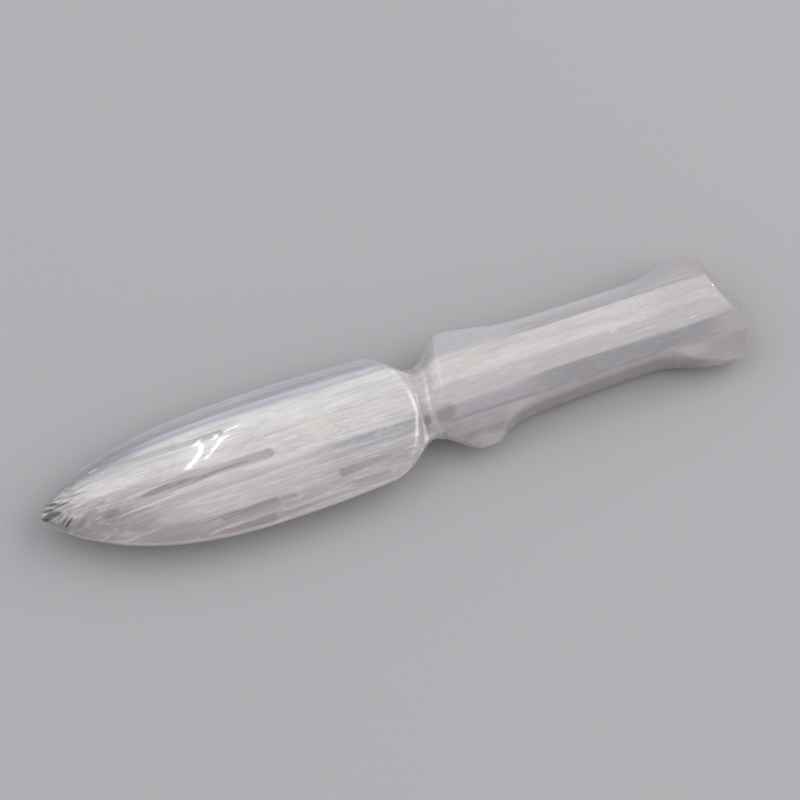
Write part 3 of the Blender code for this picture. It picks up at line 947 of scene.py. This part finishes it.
def fibre_bed():
    """Geometry nodes that strew fibres through the stone and keep those that stay inside."""
    tree = bpy.data.node_groups.new("fibre_bed", "GeometryNodeTree")
    face = tree.interface
    face.new_socket("Geometry", in_out="INPUT", socket_type="NodeSocketGeometry")
    for name, kind in (
        ("Stone", "Object"), ("Fibre", "Object"), ("Count", "Int"), ("Seed", "Int"),
        ("Lowest", "Vector"), ("Highest", "Vector"), ("Shortest", "Float"), ("Longest", "Float"),
        ("Thinnest", "Float"), ("Thickest", "Float"), ("Clearance", "Float"),
        ("Material", "Material"),
    ):
        face.new_socket(name, in_out="INPUT", socket_type="NodeSocket" + kind)
    face.new_socket("Geometry", in_out="OUTPUT", socket_type="NodeSocketGeometry")
    given = tree.nodes.new("NodeGroupInput").outputs

    def chance(kind, low, high, salt):
        node = tree.nodes.new("FunctionNodeRandomValue")
        node.data_type = kind
        low_socket, high_socket = [s for s in node.inputs if s.enabled and s.name in ("Min", "Max")]
        join(tree, low_socket, low)
        join(tree, high_socket, high)
        join(tree, node.inputs["Seed"], calc(tree, "ADD", given["Seed"], salt))
        return [s for s in node.outputs if s.enabled][0]

    def body(name):
        node = tree.nodes.new("GeometryNodeObjectInfo")
        join(tree, node.inputs["Object"], given[name])
        return node.outputs["Geometry"]

    stone_body = body("Stone")
    strew = tree.nodes.new("GeometryNodePoints")
    join(tree, strew.inputs["Count"], given["Count"])
    scattered = chance("FLOAT_VECTOR", given["Lowest"], given["Highest"], 0.0)
    join(tree, strew.inputs["Position"], scattered)
    reach = chance("FLOAT", given["Shortest"], given["Longest"], 1.0)
    thickness = chance("FLOAT", given["Thinnest"], given["Thickest"], 2.0)
    position = tree.nodes.new("GeometryNodeInputPosition").outputs[0]

    def ray(way, length):
        node = tree.nodes.new("GeometryNodeRaycast")
        join(tree, node.inputs["Target Geometry"], stone_body)
        node.inputs["Ray Direction"].default_value = way
        join(tree, node.inputs["Ray Length"], length)
        return node.outputs

    upward = ray((0.0, 0.0, 1.0), 1.0)
    height = tree.nodes.new("ShaderNodeSeparateXYZ")
    join(tree, height.inputs[0], upward["Hit Normal"])
    within = calc(tree, "GREATER_THAN", height.outputs["Z"], 0.0)
    kept = calc(tree, "MULTIPLY", upward["Is Hit"], within)
    room = calc(tree, "ADD", reach, given["Clearance"])
    for way in ((1.0, 0.0, 0.0), (-1.0, 0.0, 0.0)):
        free = calc(tree, "SUBTRACT", 1.0, ray(way, room)["Is Hit"])
        kept = calc(tree, "MULTIPLY", kept, free)
    for step in FIBRE_PROBES:
        offset = tree.nodes.new("ShaderNodeCombineXYZ")
        join(tree, offset.inputs["X"], calc(tree, "MULTIPLY", reach, step))
        probe = tree.nodes.new("ShaderNodeVectorMath")
        join(tree, probe.inputs[0], position)
        join(tree, probe.inputs[1], offset.outputs["Vector"])
        near = tree.nodes.new("GeometryNodeProximity")
        join(tree, near.inputs["Geometry"], stone_body)
        join(tree, near.inputs["Sample Position"], probe.outputs["Vector"])
        clear = calc(tree, "GREATER_THAN", near.outputs["Distance"], given["Clearance"])
        kept = calc(tree, "MULTIPLY", kept, clear)

    size = tree.nodes.new("ShaderNodeCombineXYZ")
    for axis, value in (("X", reach), ("Y", thickness), ("Z", thickness)):
        join(tree, size.inputs[axis], value)
    lay = tree.nodes.new("GeometryNodeInstanceOnPoints")
    realize = tree.nodes.new("GeometryNodeRealizeInstances")
    dress = tree.nodes.new("GeometryNodeSetMaterial")
    join(tree, lay.inputs["Points"], strew.outputs["Points"])
    join(tree, lay.inputs["Selection"], calc(tree, "GREATER_THAN", kept, 0.5))
    join(tree, lay.inputs["Instance"], body("Fibre"))
    join(tree, lay.inputs["Scale"], size.outputs["Vector"])
    join(tree, realize.inputs["Geometry"], lay.outputs["Instances"])
    join(tree, dress.inputs["Geometry"], realize.outputs["Geometry"])
    join(tree, dress.inputs["Material"], given["Material"])
    join(tree, tree.nodes.new("NodeGroupOutput").inputs["Geometry"], dress.outputs["Geometry"])
    return tree


def silver_fibre():
    material = bpy.data.materials.new("silver_fibre")
    material.use_nodes = True
    tree = material.node_tree
    shader = tree.nodes["Principled BSDF"]
    coordinates = tree.nodes.new("ShaderNodeTexCoord")
    glimmer = tree.nodes.new("ShaderNodeTexNoise")
    glimmer.inputs["Scale"].default_value = GLIMMER_SCALE
    join(tree, glimmer.inputs["Vector"], coordinates.outputs["Object"])
    join(tree, shader.inputs["Base Color"], over(tree, WARM_MILK, SILVER, glimmer.outputs["Fac"]))
    shader.inputs["Roughness"].default_value = FIBRE_ROUGHNESS
    return material


bed = fibre_bed()
fibre = one_fibre()
bpy.context.scene.collection.objects.link(fibre)
fibre_finish = silver_fibre()
low, high = (Vector(corner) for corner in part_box("knife"))
middle_height = (low.z + high.z) / 2
for name, count, seed, bottom, top in (
    ("upper_fibres", UPPER_FIBRES, 5, middle_height, high.z),
    ("lower_fibres", LOWER_FIBRES, 9, low.z, middle_height),
):
    fibres = bpy.data.objects.new(name, bpy.data.meshes.new(name))
    bpy.context.scene.collection.objects.link(fibres)
    grown(fibres, bed, {
        "Stone": stone, "Fibre": fibre, "Count": count, "Seed": seed,
        "Lowest": (low.x, low.y, bottom), "Highest": (high.x, high.y, top),
        "Shortest": FIBRE_REACH[0] * MM, "Longest": FIBRE_REACH[1] * MM,
        "Thinnest": FIBRE_THICKNESS[0] * MM, "Thickest": FIBRE_THICKNESS[1] * MM,
        "Clearance": FIBRE_CLEARANCE * MM, "Material": fibre_finish,
    })
    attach(fibres, "root")
bpy.data.objects.remove(fibre)

# The table top under the knife and the light of a plain studio: a pale room, a wide
# soft light beyond the handle, a weaker one by the tip, and two narrow bars, the
# slanted ones that the polish of the blade mirrors.
FLOOR_SIZE = 12.0
FLOOR_GAP = 0.0003
FLOOR_GREY = shade(152, 152, 153)
FLOOR_ROUGHNESS = 0.9
# Soft lights: name, azimuth and elevation, width and height, watts
LIGHT_DISTANCE = 2.4
SOFT_LIGHTS = (
    ("window", (97.0, 34.0), (3.2, 2.3), 60.0),
    ("fill", (-60.0, 35.0), (3.2, 3.2), 22.0),
)
# Bars: name, azimuth and elevation of both ends, width, watts
BAR_DISTANCE = 1.6
BARS = (
    ("left_bar", (-12.0, 68.8), (-4.2, 55.4), 0.008, 0.28),
    ("right_bar", (-7.0, 66.4), (3.9, 49.0), 0.009, 0.40),
)
ROOM_COLOUR = (0.95, 0.96, 1.0, 1.0)
ROOM_STRENGTH = 0.81


def table_top():
    mesh = bpy.data.meshes.new("table_top")
    half = FLOOR_SIZE / 2
    corners = [(-half, -half), (half, -half), (half, half), (-half, half)]
    mesh.from_pydata([(x, y, -FLOOR_GAP) for x, y in corners], [], [(0, 1, 2, 3)])
    material = bpy.data.materials.new("table_grey")
    material.use_nodes = True
    shader = material.node_tree.nodes["Principled BSDF"]
    shader.inputs["Base Color"].default_value = FLOOR_GREY
    shader.inputs["Roughness"].default_value = FLOOR_ROUGHNESS
    mesh.materials.append(material)
    return bpy.data.objects.new("table_top", mesh)


def direction(azimuth, elevation):
    """Unit vector towards a point seen at that azimuth, from +Y over +X, and height."""
    turn = math.radians(azimuth)
    lift = math.radians(elevation)
    level = math.cos(lift)
    return Vector((math.sin(turn) * level, math.cos(turn) * level, math.sin(lift)))


def soft_light(name, towards, distance, size, power, upright=Vector((0, 0, 1))):
    """A rectangular light that faces the knife, its second side along upright."""
    lamp = bpy.data.lights.new(name, "AREA")
    lamp.shape = "RECTANGLE"
    lamp.size, lamp.size_y = size
    lamp.energy = power
    light = bpy.data.objects.new(name, lamp)
    side = upright.cross(towards).normalized()
    turned = Matrix((side, towards.cross(side), towards)).transposed()
    light.matrix_world = Matrix.Translation(towards * distance) @ turned.to_4x4()
    bpy.context.scene.collection.objects.link(light)
    return light


floor = table_top()
bpy.context.scene.collection.objects.link(floor)
for name, place, size, power in SOFT_LIGHTS:
    soft_light(name, direction(*place), LIGHT_DISTANCE, size, power)
for name, start, end, width, power in BARS:
    first = direction(*start)
    last = direction(*end)
    size = (width, (last - first).length * BAR_DISTANCE)
    soft_light(name, (first + last).normalized(), BAR_DISTANCE, size, power, upright=last - first)

world = bpy.data.worlds.new("room")
world.use_nodes = True
world.node_tree.nodes["Background"].inputs["Color"].default_value = ROOM_COLOUR
world.node_tree.nodes["Background"].inputs["Strength"].default_value = ROOM_STRENGTH
bpy.context.scene.world = world
bpy.context.scene.view_settings.view_transform = "Standard"

# The camera, half a metre away, looking down on the knife with its tip to the left
# and nearer than the pommel.
CAMERA_TURN = -20.357
CAMERA_LIFT = 63.0
CAMERA_DISTANCE = 500.0
CAMERA_LENS = 83.1
CAMERA_TARGET = Vector((0.7, 3.20, 8.0))

turn = math.radians(CAMERA_TURN)
lift = math.radians(CAMERA_LIFT)
level = math.cos(lift)
back = Vector((math.sin(turn) * level, -math.cos(turn) * level, math.sin(lift)))
camera = bpy.data.objects.new("camera", bpy.data.cameras.new("camera"))
camera.data.lens = CAMERA_LENS
camera.location = (CAMERA_TARGET + back * CAMERA_DISTANCE) * MM
camera.rotation_euler = back.to_track_quat("Z", "Y").to_euler()
bpy.context.scene.collection.objects.link(camera)
bpy.context.scene.camera = camera
